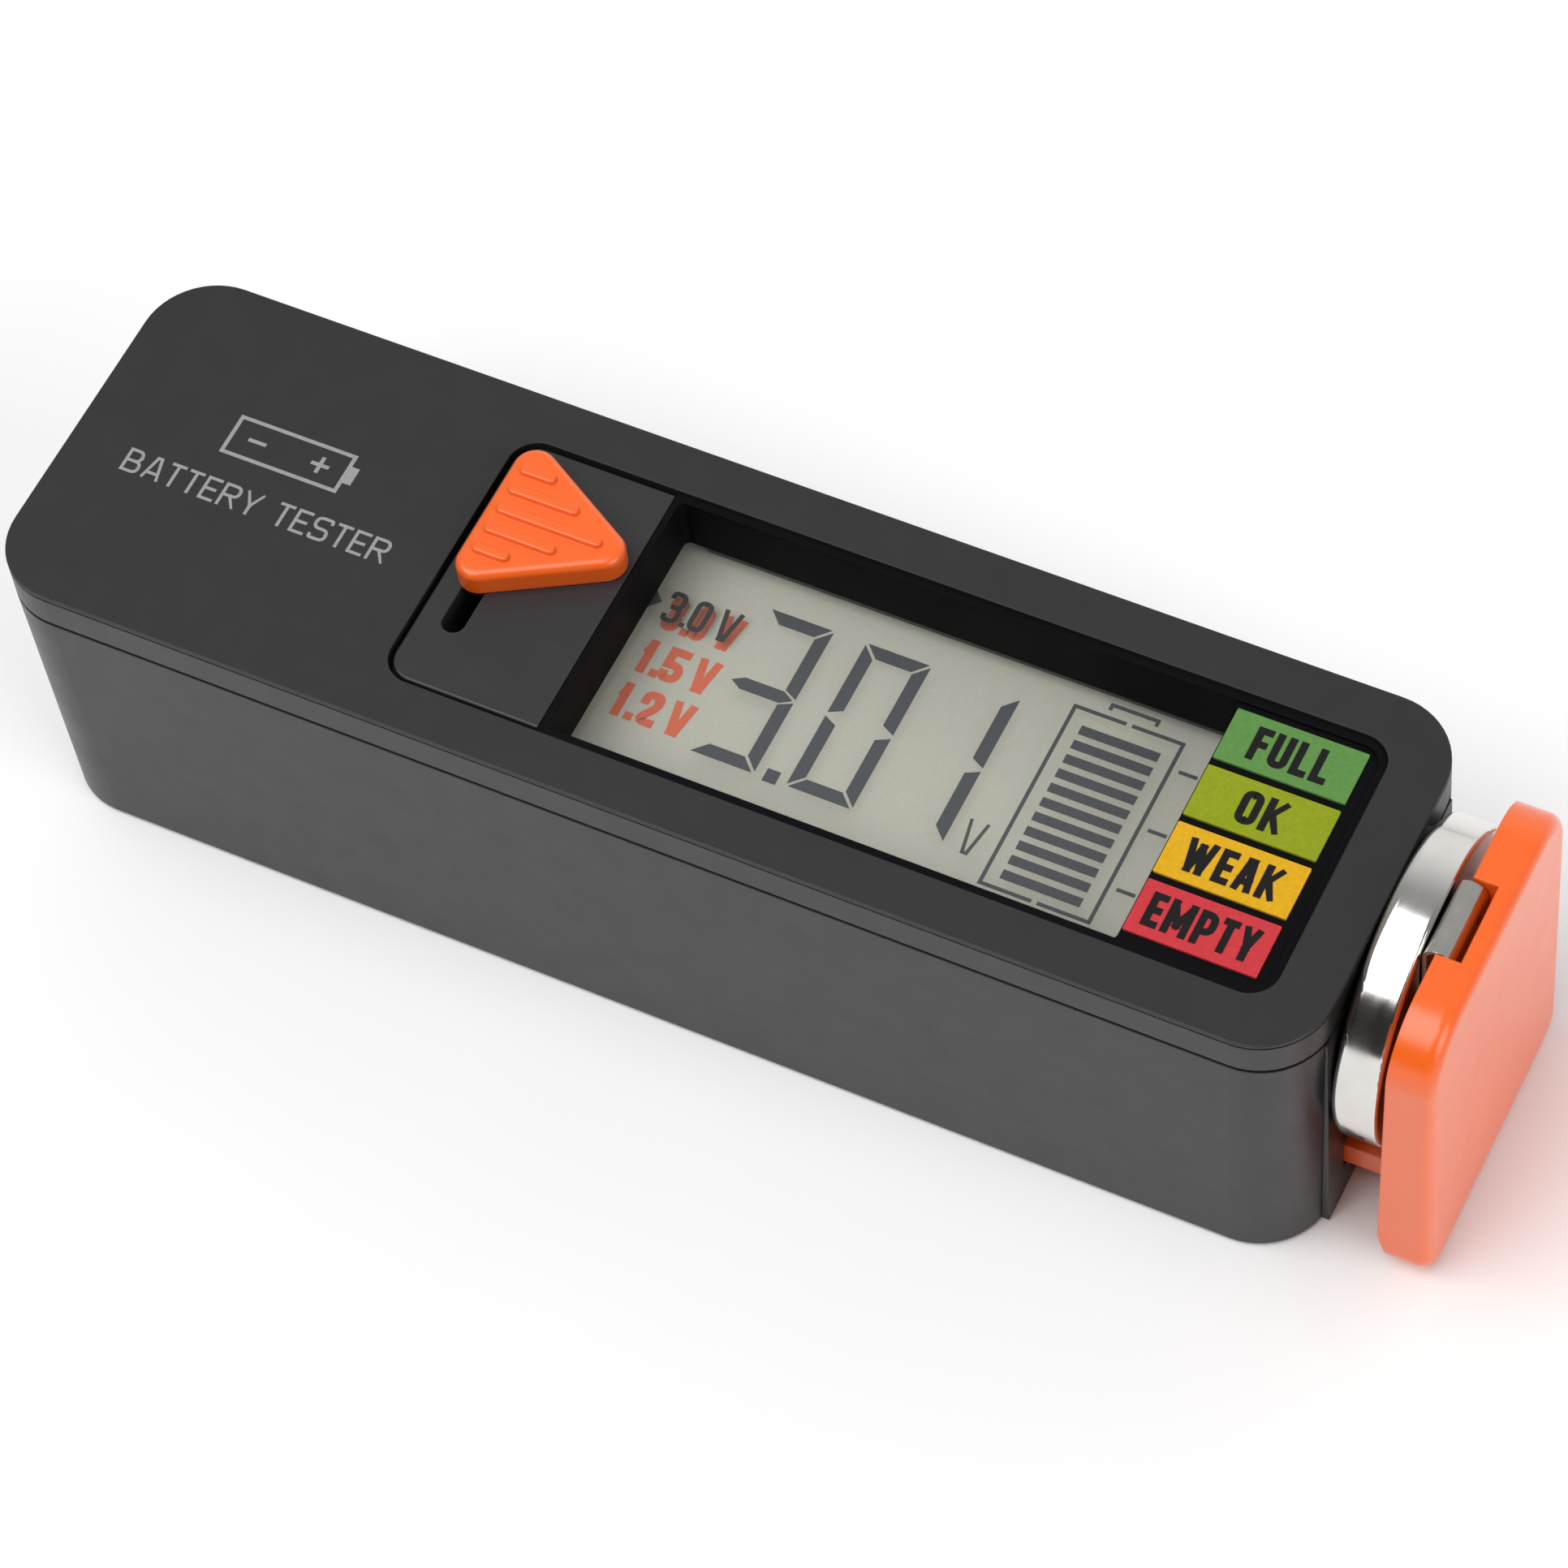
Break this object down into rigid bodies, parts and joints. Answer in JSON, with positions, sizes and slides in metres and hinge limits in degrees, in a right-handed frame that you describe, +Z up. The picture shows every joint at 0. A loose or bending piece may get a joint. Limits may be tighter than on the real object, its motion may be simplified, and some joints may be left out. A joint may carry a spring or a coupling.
{
  "type": "battery tester",
  "caption": "Pocket battery tester with a sprung sliding contact arm, a voltage selector, a digital display with coloured condition labels, and a coin cell held for testing.",
  "frame": {"origin": "centre of the underside of the whole tester's bounding box, with the arm at rest on the cell under test", "axes": "+X along the body towards the sliding arm, +Y across the body, +Z up out of the display"},
  "size_m": [0.0944, 0.0254, 0.0257],
  "materials": {
    "black_plastic": "fine moulded texture, satin",
    "panel_plastic": "smooth satin moulding",
    "gloss_black": "polished moulding",
    "orange_plastic": "satin moulded ABS",
    "label_green": "printed film",
    "label_lime": "printed film",
    "label_amber": "printed film",
    "label_red": "printed film",
    "display_glass": "clear",
    "display_reflector": "pale grey-green diffuse film",
    "connector_rubber": "striped elastomer",
    "holder_plastic": "natural white moulding",
    "board_laminate": "green solder mask",
    "chip_epoxy": "moulded epoxy",
    "component_ceramic": "ceramic",
    "switch_metal": "stamped tin plate",
    "switch_plastic": "moulded",
    "nickel_steel": "bright nickel plate",
    "spring_steel": "bright drawn",
    "cell_steel": "polished with fine drawn lines",
    "cell_gasket": "nylon",
    "screw_steel": "zinc plated"
  },
  "bodies": {
    "housing": {"lower_housing": "black_plastic", "upper_cover": "black_plastic", "slider_panel": "panel_plastic", "display_bezel": "gloss_black", "label_full": "label_green", "label_ok": "label_lime", "label_weak": "label_amber", "label_empty": "label_red", "lcd_front_glass": "display_glass", "lcd_rear_glass": "display_glass", "lcd_reflector": "display_reflector", "zebra_strip_near": "connector_rubber", "zebra_strip_far": "connector_rubber", "display_holder": "holder_plastic", "main_board": "board_laminate", "controller_chip": "chip_epoxy", "board_components": "component_ceramic", "switch_base": "switch_metal", "end_plate": "black_plastic", "end_contact": "nickel_steel", "slide_guide": "holder_plastic", "arm_wiper": "spring_steel", "return_spring": "spring_steel", "cell_cradle": "holder_plastic", "supply_cell_near": "cell_steel", "supply_cell_far": "cell_steel", "supply_contact_minus": "nickel_steel", "supply_contact_plus": "nickel_steel", "case_screws": "screw_steel", "board_screws": "screw_steel"},
    "arm": {"slide_arm": "orange_plastic", "arm_contact": "nickel_steel"},
    "selector": {"selector_knob": "orange_plastic", "switch_lever": "switch_plastic"},
    "test_cell": {"test_cell_can": "cell_steel", "test_cell_cap": "cell_steel", "test_cell_gasket": "cell_gasket"},
    "door": {"battery_door": "black_plastic"}
  },
  "joints": [
    {"name": "arm_slide", "type": "slide", "parent": "housing", "child": "arm", "axis": [1, 0, 0], "range_m": [0, 0.0583], "stiffness_N_per_m": 25, "springref_m": -0.03, "deforming": ["return_spring"]},
    {"name": "selector_slide", "type": "slide", "parent": "housing", "child": "selector", "axis": [0, -1, 0], "range_m": [0, 0.006]},
    {"name": "cell_lift", "type": "slide", "parent": "arm", "child": "test_cell", "axis": [0, 0, 1], "range_m": [0, 0.024]},
    {"name": "door_pull", "type": "slide", "parent": "housing", "child": "door", "axis": [-1, 0, 0], "range_m": [0, 0.01]}
  ]
}
